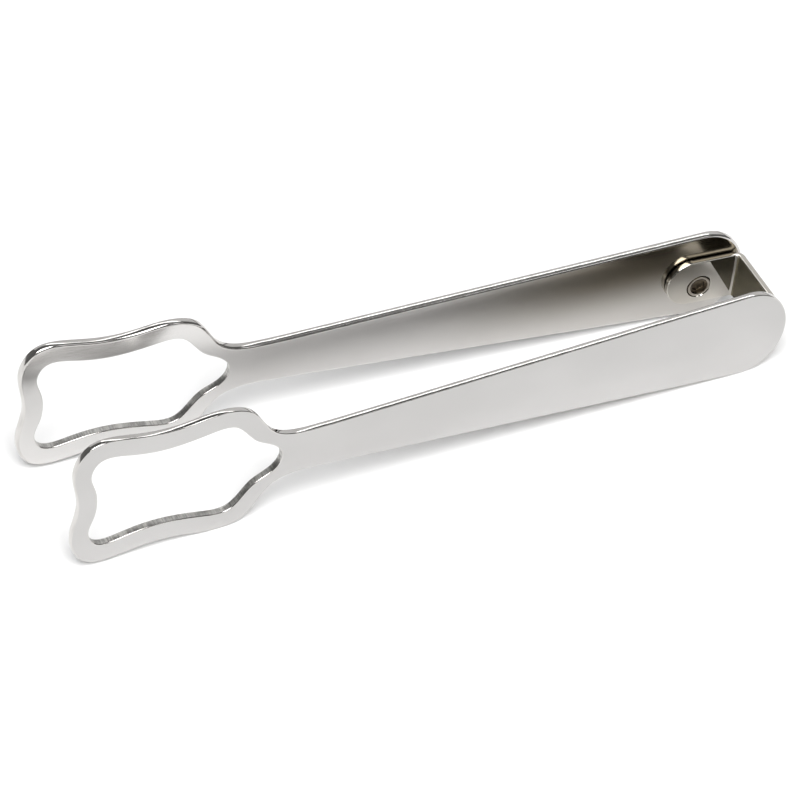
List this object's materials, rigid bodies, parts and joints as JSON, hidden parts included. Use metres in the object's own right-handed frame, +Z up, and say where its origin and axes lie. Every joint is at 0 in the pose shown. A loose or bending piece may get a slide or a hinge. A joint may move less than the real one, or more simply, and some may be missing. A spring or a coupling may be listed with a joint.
{
  "type": "spring tongs",
  "caption": "Polished metal tongs: two flat strip arms ending in open wavy loops, sprung apart by a bent strip at the back.",
  "frame": {"origin": "bottom centre of the bounding box, on the surface that the tongs lie on", "axes": "+X runs back along the tongs from the loops to the spring bridge, +Y runs across from the left arm to the right arm, +Z is up, with the tongs lying on edge"},
  "size_m": [0.1814, 0.0356, 0.0366],
  "materials": {
    "polished_stainless": "mirror-polished stainless steel",
    "polished_spring_strip": "mirror-polished spring strip",
    "dark_screw_steel": "dark plated screw steel"
  },
  "bodies": {
    "bridge": {"spring_bridge": "polished_spring_strip"},
    "left": {"left_arm": "polished_stainless", "left_screw": "dark_screw_steel"},
    "right": {"right_arm": "polished_stainless", "right_screw": "dark_screw_steel"}
  },
  "joints": [
    {"name": "right_arm_squeeze", "type": "hinge", "parent": "bridge", "child": "right", "pos_m": [0.08874, 0.00385, 0.01153], "axis": [0.0422, 0, 0.9991], "range_deg": [0, 4.9], "stiffness_Nm_per_rad": 4, "deforming": ["spring_bridge"]},
    {"name": "left_arm_squeeze", "type": "hinge", "parent": "bridge", "child": "left", "pos_m": [0.08874, -0.00385, 0.01153], "axis": [-0.0422, 0, -0.9991], "range_deg": [0, 4.9], "stiffness_Nm_per_rad": 4}
  ],
  "couplings": [
    {"joint": "left_arm_squeeze", "follows": "right_arm_squeeze", "ratio": 1}
  ]
}
